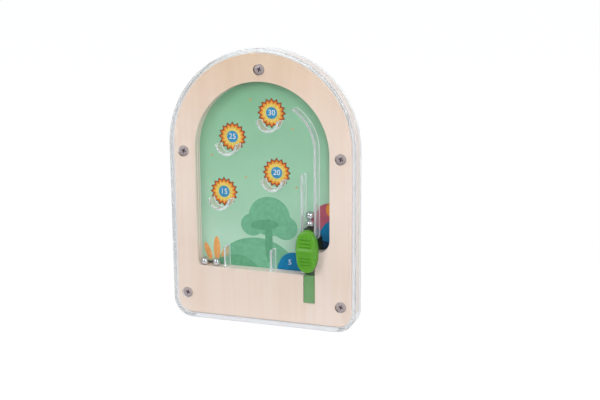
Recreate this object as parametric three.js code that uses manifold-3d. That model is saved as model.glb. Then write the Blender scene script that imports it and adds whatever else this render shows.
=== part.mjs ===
// Pocket pinball game: an arched plywood frame in a clear moulded cover, closed by a back board.
// Steel balls run before a printed card, and a sprung plunger with an outside knob launches them.
// Millimetres. X is to the right, Y goes from the front to the back and Z is up.
// The origin is the middle of the cover's flat lower edge, on which the toy stands.
import * as THREE from "three";
import { mergeVertices } from "three/addons/utils/BufferGeometryUtils.js";
import Module from "manifold-3d";

const wasm = await Module();
wasm.setup();

// Case and wood
const woodWidth = 106;
const archHeight = 99.6; // from the wood's lower edge to the centre of its round top
const woodCorner = 9;
const woodThickness = 7;
const woodFit = 0.6; // between the wood's edge and the cover's skirt
const skirtWall = 2;
const coverFace = 1.8;
const coverEdge = 0.8; // rounding of the cover's outer edges
const cardThickness = 0.5;
const boardThickness = 2.4;
const stackGap = 0.1; // between the cover's face, the wood, the card and the board
const cardInset = 0.4; // the card is cut a little smaller than the wood
const overrun = 1; // how far a cut runs past the face that it opens

// Window in the wood
const sideRail = 12.75; // wood on each side of the window
const windowDrop = 2.9; // centre of the window's round top below that of the wood's
const sillHeight = 28.8;
const stepRise = 13.7; // of the sill to the right of the plunger above the sill
const sillCorner = 2.5;
const stepCorner = 7.4;
const stepEdge = 1;

// Launch lane: the balls' diameter and play set its width, and the plunger runs in its middle
const ballRadius = 2.38;
const ballSeat = 0.05; // under a resting ball
const lanePlay = 1.65;
const laneInset = 12.2; // from the window's right edge to the lane's middle
const slotMargin = 0.2; // of the slot in the wood, on each side of the lane
const slotFoot = 12.4; // wood left under the slot
const slotCorner = 0.8;
const ribWall = 1.35;
const ribGap = 0.2; // between a rib's free edge and what it faces
const shortWallHeight = 57.3; // above the sill
const returnGap = 7.5; // under the long wall, for balls that roll back over the step
const longWallBend = 27.7; // outer radius of the long wall's curved top
const longWallSweep = 59; // degrees
const travel = 16;

// Cups, dividers and balls in the left pocket. Across, shares are of half the window's width,
// and up, of the window's height above the sill.
const cupRadius = 5.3;
const cupWall = 1.3;
const cupShares = [
  { across: 0.107, up: 0.8 },
  { across: -0.517, up: 0.668 },
  { across: 0.159, up: 0.492 },
  { across: -0.643, up: 0.374 },
];
const dividerHeight = 12.6;
const dividerShares = [-0.571, 0.134];
const pocketBallShares = { pocket_ball_left: -0.914, pocket_ball_right: -0.73 };
const laneBallDepth = 2.75; // from the wood's front face to the centre of a lane ball
const pocketBallDepth = 2.75;

// Screws, with flat countersunk heads
const screwHeadRadius = 2.95;
const screwHeadEdge = 0.25; // straight edge of the head, before its cone
const screwShankRadius = 1.25;
const screwTip = 1;
const screwSink = 0.9; // flat of the head below the cover's front
const screwFit = 0.15;
const screwEngage = 1.8; // how far a screw's point enters the back board
const screwEdge = 6.05; // from the wood's straight edges to the side screws
const screwCrown = 8.9; // from the top of the wood to the top screw
const screwFoot = 12.1; // from the wood's lower edge to the bottom screws
const screwDrop = 3.4; // middle screws below the centre of the wood's round top

// Plunger head and the stem that joins it to the knob
const runGap = 0.3; // between moving pieces and what they run beside or stop at
const headHeight = 10.7;
const headEdge = 0.6;
const stemWidth = 3.8;
const stemHeight = 7;
const stemCorner = 1.3;
const stemDrop = 2.5; // top of the stem below the top of the head
const tenonDepth = 2;
const joinFit = 0.1;

// Knob
const knobWidth = 12.8;
const knobHeight = 24.5;
const knobProud = 6; // from the knob's back to its crest
const knobEndProud = 3.1; // from the knob's back to its front at its two ends
const knobSideProud = 2.6; // from the knob's back to the start of its side slopes
const panelWidth = 6.4; // flat of its front between the side slopes
const knobPower = 2.2; // exponent of the knob's rounded outline
const knobFall = 1.4; // exponent of its front's fall from the crest to its ends
const ridgeRadius = 0.5;
const ridgeLength = 6;
const ridgePitch = 1.9;
const ridgeStart = 3; // from the crest to the first ridge
const ridgesPerSide = 3;
const ridgeSink = 0.15;

// Rod, spring and housing
const springDepth = 4; // from the wood's front face to their common axis
const rodRadius = 0.8;
const rodSocket = 3;
const wireRadius = 0.25;
const springRadius = 1.75; // to the middle of the wire
const springCurls = 12;
const boreRadius = 2.3;
const housingFloor = 2;

// Small screw that holds the knob's stem to the head
const knobScrewRadius = 0.7;
const knobScrewHead = 1.5;
const knobScrewHeadHeight = 0.9;
const knobScrewLength = 6.5;

// Fineness of curves
const arcSteps = 24;
const cupSteps = 10;
const roundSides = 16;
const curlSteps = 8;
const curlSides = 5;

// Places that follow from the sizes above
const woodHalf = woodWidth / 2;
const rim = woodFit + skirtWall;
const woodBottom = rim;
const caseHalf = woodHalf + rim;
const caseDepth =
  coverFace + woodThickness + cardThickness + boardThickness + 3 * stackGap;
const front = -caseDepth / 2;
const back = caseDepth / 2;
const faceBack = front + coverFace;
const woodFront = faceBack + stackGap;
const woodBack = woodFront + woodThickness;
const cardFront = woodBack + stackGap;
const cardBack = cardFront + cardThickness;
const boardFront = cardBack + stackGap;
const archZ = woodBottom + archHeight;
const windowHalf = woodHalf - sideRail;
const windowArchZ = archZ - windowDrop;
const sillZ = woodBottom + sillHeight;
const stepZ = sillZ + stepRise;
const slotZ = woodBottom + slotFoot;
const windowHeight = windowArchZ + windowHalf - sillZ;
const ribBack = cardFront - ribGap;
const laneX = windowHalf - laneInset;
const laneWidth = 2 * ballRadius + lanePlay;
const laneLeft = laneX - laneWidth / 2;
const laneRight = laneX + laneWidth / 2;
const slotLeft = laneLeft - slotMargin;
const slotRight = laneRight + slotMargin;
const springY = woodFront + springDepth;
const headBottomZ = sillZ + travel + runGap;
const headTopZ = headBottomZ + headHeight;
const headFront = faceBack + runGap;
const headBack = cardFront - runGap;
const stemTop = headTopZ - stemDrop;
const stemZ = stemTop - stemHeight / 2;
const tenonBack = headFront + tenonDepth;
const knobBack = front - runGap;
const knobZ = headTopZ - knobHeight / 2;
const boreFloorZ = slotZ + joinFit + housingFloor;
const rodTop = headBottomZ + rodSocket - joinFit;
const knobScrewSeat = headBack - knobScrewHeadHeight - joinFit;
const screwCone = screwHeadRadius - screwShankRadius; // its sides fall at 45 degrees
const screwFlatY = front + screwSink;
const screwConeY = screwFlatY + screwHeadEdge;
const screwPlaces = [
  { name: "screw_top", x: 0, z: archZ + woodHalf - screwCrown },
  { name: "screw_left", x: screwEdge - woodHalf, z: archZ - screwDrop },
  { name: "screw_right", x: woodHalf - screwEdge, z: archZ - screwDrop },
  { name: "screw_bottom_left", x: screwEdge - woodHalf, z: woodBottom + screwFoot },
  { name: "screw_bottom_right", x: woodHalf - screwEdge, z: woodBottom + screwFoot },
];

// Joining and cutting
function solid(geometry) {
  geometry.deleteAttribute("normal");
  geometry.deleteAttribute("uv");
  const merged = mergeVertices(geometry);
  return new wasm.Manifold(
    new wasm.Mesh({
      numProp: 3,
      vertProperties: merged.attributes.position.array,
      triVerts: new Uint32Array(merged.index.array),
    }),
  );
}

function geometryOf(body) {
  const mesh = body.getMesh();
  const geometry = new THREE.BufferGeometry();
  geometry.setAttribute(
    "position",
    new THREE.BufferAttribute(mesh.vertProperties, mesh.numProp),
  );
  geometry.setIndex(new THREE.BufferAttribute(mesh.triVerts, 1));
  geometry.computeVertexNormals();
  return geometry;
}

// A shape drawn in X and Z, as thick as the stretch of Y from one depth to the other.
function slab(shape, from, to, steps = arcSteps) {
  const geometry = new THREE.ExtrudeGeometry(shape, {
    depth: to - from,
    bevelEnabled: false,
    curveSegments: steps,
  });
  geometry.rotateX(Math.PI / 2);
  geometry.translate(0, to, 0);
  return solid(geometry);
}

// The same with both its edges rounded.
function softSlab(shape, from, to, edge, steps = arcSteps) {
  const geometry = new THREE.ExtrudeGeometry(shape, {
    depth: to - from - 2 * edge,
    bevelEnabled: true,
    bevelThickness: edge,
    bevelSize: edge,
    bevelOffset: -edge,
    bevelSegments: 2,
    curveSegments: steps,
  });
  geometry.rotateX(Math.PI / 2);
  geometry.translate(0, to - edge, 0);
  return solid(geometry);
}

// A round pin or hole along Y.
function pin(x, z, radius, from, to) {
  const geometry = new THREE.CylinderGeometry(
    radius,
    radius,
    to - from,
    roundSides,
  );
  geometry.translate(x, (from + to) / 2, z);
  return solid(geometry);
}

// A round pin or hole along Z.
function post(x, y, radius, bottom, top) {
  const geometry = new THREE.CylinderGeometry(
    radius,
    radius,
    top - bottom,
    roundSides,
  );
  geometry.rotateX(Math.PI / 2);
  geometry.translate(x, y, (bottom + top) / 2);
  return solid(geometry);
}

// A shape turned about an axis along Y, from its radii and depths.
function turned(profile, x, z) {
  const points = profile.map(([out, y]) => new THREE.Vector2(out, y));
  const geometry = new THREE.LatheGeometry(points, roundSides);
  geometry.translate(x, 0, z);
  return solid(geometry);
}

// The hole that takes a screw, from before the cover to a depth.
function screwHole(x, z, end) {
  const head = screwHeadRadius + screwFit;
  const shank = screwShankRadius + screwFit;
  const profile = [
    [0, front - overrun],
    [head, front - overrun],
    [head, screwConeY],
    [shank, screwConeY + screwCone],
    [shank, end],
    [0, end],
  ];
  return turned(profile, x, z);
}

// Outlines
function archOutline(half, bottom, corner) {
  const shape = new THREE.Shape();
  shape.moveTo(-half + corner, bottom);
  shape.lineTo(half - corner, bottom);
  shape.absarc(half - corner, bottom + corner, corner, -Math.PI / 2, 0, false);
  shape.lineTo(half, archZ);
  shape.absarc(0, archZ, half, 0, Math.PI, false);
  shape.lineTo(-half, bottom + corner);
  shape.absarc(
    -half + corner,
    bottom + corner,
    corner,
    Math.PI,
    1.5 * Math.PI,
    false,
  );
  return shape;
}

function roundedBox(x, z, width, height, corner) {
  const left = x - width / 2;
  const right = x + width / 2;
  const low = z - height / 2;
  const high = z + height / 2;
  const shape = new THREE.Shape();
  shape.moveTo(left + corner, low);
  shape.lineTo(right - corner, low);
  shape.absarc(right - corner, low + corner, corner, -Math.PI / 2, 0, false);
  shape.lineTo(right, high - corner);
  shape.absarc(right - corner, high - corner, corner, 0, Math.PI / 2, false);
  shape.lineTo(left + corner, high);
  shape.absarc(left + corner, high - corner, corner, Math.PI / 2, Math.PI, false);
  shape.lineTo(left, low + corner);
  shape.absarc(left + corner, low + corner, corner, Math.PI, 1.5 * Math.PI, false);
  return shape;
}

// The window, with the plunger's slot at the foot of the lane and the raised sill beside it.
function windowOutline() {
  const corner = Math.min(stepCorner, windowHalf - slotRight - stepEdge);
  const path = new THREE.Path();
  path.moveTo(-windowHalf + sillCorner, sillZ);
  path.lineTo(slotLeft, sillZ);
  path.lineTo(slotLeft, slotZ + slotCorner);
  path.absarc(
    slotLeft + slotCorner,
    slotZ + slotCorner,
    slotCorner,
    Math.PI,
    1.5 * Math.PI,
    false,
  );
  path.lineTo(slotRight - slotCorner, slotZ);
  path.absarc(
    slotRight - slotCorner,
    slotZ + slotCorner,
    slotCorner,
    -Math.PI / 2,
    0,
    false,
  );
  path.lineTo(slotRight, stepZ - stepEdge);
  path.absarc(
    slotRight + stepEdge,
    stepZ - stepEdge,
    stepEdge,
    Math.PI,
    Math.PI / 2,
    true,
  );
  path.lineTo(windowHalf - corner, stepZ);
  path.absarc(windowHalf - corner, stepZ + corner, corner, -Math.PI / 2, 0, false);
  path.lineTo(windowHalf, windowArchZ);
  path.absarc(0, windowArchZ, windowHalf, 0, Math.PI, false);
  path.lineTo(-windowHalf, sillZ + sillCorner);
  path.absarc(
    -windowHalf + sillCorner,
    sillZ + sillCorner,
    sillCorner,
    Math.PI,
    1.5 * Math.PI,
    false,
  );
  return path;
}

// The lower half of a ring, open upwards.
function cupOutline(x, z) {
  const outer = cupRadius + cupWall;
  const shape = new THREE.Shape();
  shape.moveTo(x - outer, z);
  shape.absarc(x, z, outer, Math.PI, 2 * Math.PI, false);
  shape.lineTo(x + cupRadius, z);
  shape.absarc(x, z, cupRadius, 2 * Math.PI, Math.PI, true);
  return shape;
}

// The lane's long wall: straight, then bent to the left over the lane's mouth.
function longWallOutline() {
  const outer = longWallBend;
  const inner = outer - ribWall;
  const x = laneRight + ribWall - outer;
  const sweep = THREE.MathUtils.degToRad(longWallSweep);
  const shape = new THREE.Shape();
  shape.moveTo(laneRight, stepZ + returnGap);
  shape.lineTo(laneRight + ribWall, stepZ + returnGap);
  shape.lineTo(laneRight + ribWall, archZ);
  shape.absarc(x, archZ, outer, 0, sweep, false);
  shape.lineTo(x + inner * Math.cos(sweep), archZ + inner * Math.sin(sweep));
  shape.absarc(x, archZ, inner, sweep, 0, true);
  return shape;
}

// A straight wall that stands on the sill.
function wallOutline(left, height) {
  const bottom = sillZ + ribGap;
  const top = sillZ + height;
  const shape = new THREE.Shape();
  shape.moveTo(left, bottom);
  shape.lineTo(left + ribWall, bottom);
  shape.lineTo(left + ribWall, top);
  shape.lineTo(left, top);
  return shape;
}

const group = new THREE.Group();

function add(name, body, colour, roughness, metalness = 0, extra = {}) {
  const material = new THREE.MeshStandardMaterial({
    color: colour,
    roughness,
    metalness,
    ...extra,
  });
  const mesh = new THREE.Mesh(geometryOf(body), material);
  mesh.name = name;
  group.add(mesh);
}

// Clear cover: a tray whose face lies before the wood, with the ball guides moulded behind it.
function frontCover() {
  const caseCorner = woodCorner + rim;
  const cavityCorner = woodCorner + woodFit;
  const outer = softSlab(archOutline(caseHalf, 0, caseCorner), front, back, coverEdge);
  const cavity = slab(
    archOutline(woodHalf + woodFit, skirtWall, cavityCorner),
    faceBack,
    back + overrun,
  );
  const slotHeight = stemHeight + travel + 2 * runGap;
  const stemSlot = roundedBox(
    laneX,
    stemTop + runGap - slotHeight / 2,
    stemWidth + 2 * runGap,
    slotHeight,
    stemCorner + runGap,
  );
  let cover = outer.subtract(cavity);
  cover = cover.subtract(slab(stemSlot, front - overrun, faceBack + overrun, cupSteps));
  for (const { x, z } of screwPlaces) cover = cover.subtract(screwHole(x, z, back));

  const root = faceBack - coverFace / 2;
  for (const { across, up } of cupShares) {
    const cup = cupOutline(across * windowHalf, sillZ + up * windowHeight);
    cover = cover.add(slab(cup, root, ribBack, cupSteps));
  }
  for (const share of dividerShares) {
    const wall = wallOutline(share * windowHalf - ribWall / 2, dividerHeight);
    cover = cover.add(slab(wall, root, ribBack));
  }
  const shortWall = wallOutline(laneLeft - ribWall, shortWallHeight);
  cover = cover.add(slab(shortWall, root, ribBack));
  return cover.add(slab(longWallOutline(), root, ribBack));
}

// A plate of the wood's outline, with a hole for each screw.
function plate(inset, from, to, opening) {
  const shape = archOutline(
    woodHalf - inset,
    woodBottom + inset,
    woodCorner - inset,
  );
  if (opening) shape.holes.push(opening);
  let body = slab(shape, from, to);
  const holeEnd = Math.min(to + overrun, boardFront + screwEngage + joinFit);
  for (const { x, z } of screwPlaces) body = body.subtract(screwHole(x, z, holeEnd));
  return body;
}

// A screw with a flat countersunk head.
function screw(x, z) {
  const tip = boardFront + screwEngage;
  const profile = [
    [0, screwFlatY],
    [screwHeadRadius, screwFlatY],
    [screwHeadRadius, screwConeY],
    [screwShankRadius, screwConeY + screwCone],
    [screwShankRadius, tip - screwTip],
    [0, tip],
  ];
  return turned(profile, x, z);
}

function ball(x, y, z) {
  const geometry = new THREE.SphereGeometry(ballRadius, roundSides, roundSides / 2 + 2);
  geometry.translate(x, y, z);
  return solid(geometry);
}

// How far the knob's front stands from its back at a height from the crest.
function knobFront(height) {
  const share = Math.abs(height) / (knobHeight / 2);
  return knobProud - (knobProud - knobEndProud) * share ** knobFall;
}

// Knob's body: a flat panel with a slope on each side, made lower towards the two ends,
// and trimmed to the rounded outline that the knob has from the front.
function knobBody() {
  const outline = new THREE.Shape();
  const steps = 2 * arcSteps;
  for (let i = 0; i < steps; i++) {
    const across = Math.cos((2 * Math.PI * i) / steps);
    const up = Math.sin((2 * Math.PI * i) / steps);
    const x = Math.sign(across) * Math.abs(across) ** (2 / knobPower);
    const z = Math.sign(up) * Math.abs(up) ** (2 / knobPower);
    const point = [laneX + (x * knobWidth) / 2, knobZ + (z * knobHeight) / 2];
    if (i === 0) outline.moveTo(...point);
    else outline.lineTo(...point);
  }

  // Seen from above, with its depth as a share of the crest's.
  const side = knobWidth / 2 + overrun;
  const slope = knobSideProud / knobProud;
  const section = new THREE.Shape();
  section.moveTo(-side, 0);
  section.lineTo(-side, -slope);
  section.quadraticCurveTo((-knobWidth / 2 - panelWidth / 2) / 2, -1, -panelWidth / 2, -1);
  section.lineTo(panelWidth / 2, -1);
  section.quadraticCurveTo((knobWidth / 2 + panelWidth / 2) / 2, -1, side, -slope);
  section.lineTo(side, 0);
  const block = new THREE.ExtrudeGeometry(section, {
    depth: knobHeight,
    steps: cupSteps * 2,
    bevelEnabled: false,
    curveSegments: 3,
  });
  const position = block.attributes.position;
  for (let i = 0; i < position.count; i++) {
    const height = position.getZ(i) - knobHeight / 2;
    position.setY(i, knobBack + position.getY(i) * knobFront(height));
    position.setZ(i, knobZ + height);
  }
  block.translate(laneX, 0, 0);
  return slab(outline, knobBack - knobProud - overrun, knobBack + overrun).intersect(
    solid(block),
  );
}

// Knob with its grip ridges, and the stem whose end is screwed to the head.
function knob() {
  let body = knobBody();
  for (let i = 0; i < ridgesPerSide; i++)
    for (const side of [-1, 1]) {
      const height = side * (ridgeStart + i * ridgePitch);
      const ridge = new THREE.CapsuleGeometry(
        ridgeRadius,
        ridgeLength - 2 * ridgeRadius,
        2,
        roundSides / 2,
      );
      ridge.rotateZ(Math.PI / 2);
      ridge.translate(laneX, knobBack - knobFront(height) + ridgeSink, knobZ + height);
      body = body.add(solid(ridge));
    }
  const stem = roundedBox(laneX, stemZ, stemWidth, stemHeight, stemCorner);
  const hole = pin(
    laneX,
    stemZ,
    knobScrewRadius + joinFit,
    knobScrewSeat - knobScrewLength - joinFit,
    tenonBack + overrun,
  );
  body = body.add(slab(stem, knobBack - knobEndProud / 2, tenonBack, cupSteps));
  return body.subtract(hole);
}

// Black head: it runs in the lane, with a pocket for the knob's stem and a socket for the rod.
function plungerHead() {
  const width = laneWidth - 2 * runGap;
  const shape = roundedBox(laneX, headTopZ - headHeight / 2, width, headHeight, headEdge);
  const pocket = roundedBox(
    laneX,
    stemZ,
    stemWidth + 2 * joinFit,
    stemHeight + 2 * joinFit,
    stemCorner + joinFit,
  );
  const socket = post(
    laneX,
    springY,
    rodRadius + joinFit,
    headBottomZ - overrun,
    headBottomZ + rodSocket,
  );
  return slab(shape, headFront, headBack, cupSteps)
    .subtract(slab(pocket, headFront - overrun, tenonBack + joinFit, cupSteps))
    .subtract(pin(laneX, stemZ, knobScrewRadius + joinFit, headFront, headBack))
    .subtract(
      pin(laneX, stemZ, knobScrewHead + joinFit, knobScrewSeat - joinFit, headBack + overrun),
    )
    .subtract(socket);
}

function knobScrew() {
  const shank = pin(
    laneX,
    stemZ,
    knobScrewRadius,
    knobScrewSeat - knobScrewLength,
    knobScrewSeat + knobScrewHeadHeight / 2,
  );
  const head = pin(
    laneX,
    stemZ,
    knobScrewHead,
    knobScrewSeat,
    knobScrewSeat + knobScrewHeadHeight,
  );
  return head.add(shank);
}

// Green block that fills the slot's foot, with the spring's bore open at its top.
function springHousing() {
  const bottom = slotZ + joinFit;
  const width = slotRight - slotLeft - 2 * joinFit;
  const middle = (bottom + sillZ) / 2;
  const shape = roundedBox(laneX, middle, width, sillZ - bottom, slotCorner);
  const bore = post(laneX, springY, boreRadius, boreFloorZ, sillZ + overrun);
  return slab(shape, woodFront, woodBack, cupSteps).subtract(bore);
}

// A tube round a line of points, closed at both ends.
function tube(points, radius, sides) {
  const positions = [];
  const index = [];
  let across = new THREE.Vector3(0, 1, 0);
  points.forEach((point, i) => {
    const before = points[Math.max(i - 1, 0)];
    const after = points[Math.min(i + 1, points.length - 1)];
    const along = new THREE.Vector3().subVectors(after, before).normalize();
    across = across.clone().addScaledVector(along, -across.dot(along)).normalize();
    const other = new THREE.Vector3().crossVectors(along, across);
    for (let k = 0; k < sides; k++) {
      const turn = (2 * Math.PI * k) / sides;
      const corner = point
        .clone()
        .addScaledVector(across, radius * Math.cos(turn))
        .addScaledVector(other, radius * Math.sin(turn));
      positions.push(...corner.toArray());
    }
  });
  const last = (points.length - 1) * sides;
  for (let i = 0; i < points.length - 1; i++)
    for (let k = 0; k < sides; k++) {
      const a = i * sides + k;
      const b = i * sides + ((k + 1) % sides);
      index.push(a, b, b + sides, a, b + sides, a + sides);
    }
  for (let k = 1; k < sides - 1; k++) {
    index.push(0, k + 1, k);
    index.push(last, last + k, last + k + 1);
  }
  const geometry = new THREE.BufferGeometry();
  geometry.setAttribute("position", new THREE.Float32BufferAttribute(positions, 3));
  geometry.setIndex(index);
  return geometry;
}

// Compression spring from the housing's floor to the head, each end bent straight up or down.
function springPoints() {
  const wire = 2 * wireRadius;
  const bottom = boreFloorZ + runGap;
  const top = headBottomZ - runGap;
  const low = bottom + 2 * wire;
  const high = top - 2 * wire;
  const place = (turn, z) =>
    new THREE.Vector3(
      laneX + springRadius * Math.cos(turn),
      springY + springRadius * Math.sin(turn),
      z,
    );
  const lead = wire / springRadius;
  const sweep = 2 * Math.PI * springCurls;
  const steps = curlSteps * springCurls;
  const points = [place(0, bottom), place(0, bottom + wire)];
  for (let i = 0; i <= steps; i++) {
    const share = i / steps;
    points.push(place(lead + sweep * share, low + (high - low) * share));
  }
  points.push(place(2 * lead + sweep, top - wire), place(2 * lead + sweep, top));
  return points;
}

// The least gap between two stretches of the wire more than half a curl apart.
function leastSelfGap(points) {
  let least = Infinity;
  for (let i = 0; i < points.length; i++)
    for (let j = i + curlSteps / 2 + 1; j < points.length; j++)
      least = Math.min(least, points[i].distanceTo(points[j]));
  return least - 2 * wireRadius;
}

const clear = { transparent: true, opacity: 0.3 };
add("front_cover", frontCover(), 0xe6edf2, 0.06, 0, clear);
add("wood_frame", plate(0, woodFront, woodBack, windowOutline()), 0xe2cdb8, 0.6);
add("playfield_card", plate(cardInset, cardFront, cardBack), 0x9dc8b2, 0.5);
add("back_board", plate(0, boardFront, back), 0xdcc4a8, 0.65);
for (const { name, x, z } of screwPlaces) add(name, screw(x, z), 0xa89ca0, 0.35, 1);

add("spring_housing", springHousing(), 0x76a86c, 0.4);
const springLine = springPoints();
console.log(`least gap of the spring to itself: ${leastSelfGap(springLine).toFixed(2)} mm`);
add("plunger_spring", solid(tube(springLine, wireRadius, curlSides)), 0xb8bcc0, 0.3, 1);
add("plunger_head", plungerHead(), 0x151515, 0.45);
const rodBottom = boreFloorZ + travel + runGap;
add("guide_rod", post(laneX, springY, rodRadius, rodBottom, rodTop), 0xc4c8cc, 0.25, 1);
add("plunger_knob", knob(), 0x5daf2a, 0.35);
add("knob_screw", knobScrew(), 0xa89ca0, 0.35, 1);

const laneBallY = woodFront + laneBallDepth;
const lowerBallZ = headTopZ + ballSeat + ballRadius;
const upperBallZ = lowerBallZ + 2 * ballRadius + ballSeat;
add("lane_ball_lower", ball(laneX, laneBallY, lowerBallZ), 0xd4d8dc, 0.1, 1);
add("lane_ball_upper", ball(laneX, laneBallY, upperBallZ), 0xd4d8dc, 0.1, 1);
for (const [name, share] of Object.entries(pocketBallShares)) {
  const z = sillZ + ballSeat + ballRadius;
  add(name, ball(share * windowHalf, woodFront + pocketBallDepth, z), 0xd4d8dc, 0.1, 1);
}

export default group;
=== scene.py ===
"""Pocket pinball game, dressed for a render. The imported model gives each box, in metres."""

import math

import bmesh
import bpy
from mathutils import Matrix, Vector


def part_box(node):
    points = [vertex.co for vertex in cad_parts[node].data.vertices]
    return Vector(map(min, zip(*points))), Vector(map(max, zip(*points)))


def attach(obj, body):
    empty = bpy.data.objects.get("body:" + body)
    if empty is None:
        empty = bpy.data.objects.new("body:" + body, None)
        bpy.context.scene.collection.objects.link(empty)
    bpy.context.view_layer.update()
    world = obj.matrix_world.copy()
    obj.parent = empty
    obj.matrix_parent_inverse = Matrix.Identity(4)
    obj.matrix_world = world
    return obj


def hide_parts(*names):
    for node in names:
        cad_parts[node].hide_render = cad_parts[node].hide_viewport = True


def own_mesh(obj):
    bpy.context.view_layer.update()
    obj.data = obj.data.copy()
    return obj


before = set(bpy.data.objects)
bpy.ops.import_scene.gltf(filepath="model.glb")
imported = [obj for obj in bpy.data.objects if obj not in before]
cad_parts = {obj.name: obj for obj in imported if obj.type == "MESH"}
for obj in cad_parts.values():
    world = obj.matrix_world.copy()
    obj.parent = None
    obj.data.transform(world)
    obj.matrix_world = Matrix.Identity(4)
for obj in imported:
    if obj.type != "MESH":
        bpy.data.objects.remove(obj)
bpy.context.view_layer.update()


# Camera: a long lens on a stand, a little above the toy and to its right. The frame is 600 by 400,
# and the toy stands to the left of its middle.
target = Vector((0.02289, -0.0041, 0.0745))
distance = 0.6216
azimuth, elevation, roll = math.radians(19.634), math.radians(12.704), math.radians(-0.438)
away = Vector(
    (
        math.sin(azimuth) * math.cos(elevation),
        -math.cos(azimuth) * math.cos(elevation),
        math.sin(elevation),
    )
)
lens = bpy.data.cameras.new("camera")
lens.sensor_width = 36
lens.lens = 67.15
lens.clip_start = 0.01
camera = bpy.data.objects.new("camera", lens)
camera.matrix_world = (
    Matrix.Translation(target + away * distance)
    @ away.to_track_quat("Z", "Y").to_matrix().to_4x4()
    @ Matrix.Rotation(roll, 4, "Z")
)
bpy.context.scene.collection.objects.link(camera)
bpy.context.scene.camera = camera
bpy.context.scene.view_settings.view_transform = "Standard"


# Light: two soft boxes to the left and right of the camera, in a pale room. Round the camera the
# room is dark from floor to ceiling, which the balls show as a dark bar, and so is its horizon.
# The cover's flat face mirrors only dark, as it would with a dark curtain before the toy.
def soft_box(name, place, power):
    """A square light that looks at the middle of the toy."""
    lamp = bpy.data.lights.new(name, "AREA")
    lamp.shape = "SQUARE"
    lamp.size = 0.4
    lamp.energy = power
    box = bpy.data.objects.new(name, lamp)
    aim = Vector((0, 0, 0.08))
    turned = (Vector(place) - aim).to_track_quat("Z", "Y").to_matrix().to_4x4()
    box.matrix_world = Matrix.Translation(place) @ turned
    box.visible_camera = False
    bpy.context.scene.collection.objects.link(box)


soft_box("left_light", (-0.45, -0.8, 0.5), 1.8)
soft_box("right_light", (0.6, -0.75, 0.5), 2.95)


def plug(tree, socket, value):
    """Links the socket where the value is another node's output, and sets it otherwise."""
    if isinstance(value, bpy.types.NodeSocket):
        tree.links.new(value, socket)
    else:
        socket.default_value = value


def feed(tree, node, **inputs):
    """Gives a node's inputs by name, with a low line for each space."""
    for name, value in inputs.items():
        plug(tree, node.inputs[name.replace("_", " ")], value)


def add(tree, kind, output=0, **inputs):
    """One output of a new node, with its inputs given by name."""
    made = tree.nodes.new("ShaderNode" + kind)
    feed(tree, made, **inputs)
    return made.outputs[output]


def join(tree, kind, *terms, operation=None):
    """All outputs of a new node, with its inputs given in order."""
    made = tree.nodes.new("ShaderNode" + kind)
    if operation:
        made.operation = operation
    for socket, term in zip(made.inputs, terms):
        plug(tree, socket, term)
    return made.outputs


def calc(tree, operation, *terms):
    return join(tree, "Math", *terms, operation=operation)[0]


def faded(tree, value, dark, pale):
    """Zero where the value is at its dark end, one where it is at its pale end."""
    return add(tree, "MapRange", Value=value, From_Min=dark, From_Max=pale)


def between(tree, value, low, high):
    """The low number where the value is zero, the high one where it is one."""
    return add(tree, "MapRange", Value=value, To_Min=low, To_Max=high)


def ramp(tree, factor, stops, interpolation="LINEAR"):
    """The factor's place on a run of colours, given with their positions."""
    made = tree.nodes.new("ShaderNodeValToRGB")
    made.color_ramp.interpolation = interpolation
    elements = made.color_ramp.elements
    elements[0].position, elements[0].color = stops[0][0], (*stops[0][1], 1)
    elements[1].position, elements[1].color = stops[-1][0], (*stops[-1][1], 1)
    for position, colour in stops[1:-1]:
        elements.new(position).color = (*colour, 1)
    feed(tree, made, Fac=factor)
    return made.outputs["Color"]


def seen_plainly(tree):
    """The ways of a ray, and one where it comes straight from the camera, or by a mirror or a clear
    body, else zero."""
    path = tree.nodes.new("ShaderNodeLightPath").outputs
    direct = calc(tree, "MAXIMUM", path["Is Camera Ray"], path["Is Glossy Ray"])
    return path, calc(tree, "MAXIMUM", direct, path["Is Transmission Ray"])


def light_up(tree, path, kind, pattern, y, curtain, level):
    """An emitter that is white at the level to the camera and pale blue otherwise. Rays of many
    bounces, as those by a ball behind the cover, show the pattern. Of the others, those that the
    cover mirrors to the front end on the curtain. Where it is dark it still gives a little to rays
    that were mirrored once, and more to the rest."""
    few = faded(tree, path["Ray Depth"], 3.8, 3.2)
    many = faded(tree, path["Ray Depth"], 3.2, 3.8)
    straight = faded(tree, path["Glossy Depth"], 0.6, 0.4)
    behind = faded(tree, y, curtain, curtain + 0.1)
    for passes in (many, straight):
        behind = calc(tree, "MAXIMUM", behind, passes)
    shown = calc(tree, "MULTIPLY", calc(tree, "MAXIMUM", pattern, few), behind)
    once = calc(tree, "COMPARE", path["Glossy Depth"], 1, 0.4)
    strength = between(tree, once, 0.5938, 0.0797)
    for share in (shown, path["Is Camera Ray"]):
        strength = calc(tree, "MAXIMUM", strength, calc(tree, "MULTIPLY", share, level))
    colour = ramp(tree, path["Is Camera Ray"], ((0, (0.955, 0.965, 1)), (1, (1, 1, 1))))
    return add(tree, kind, Color=colour, Strength=strength)


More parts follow.
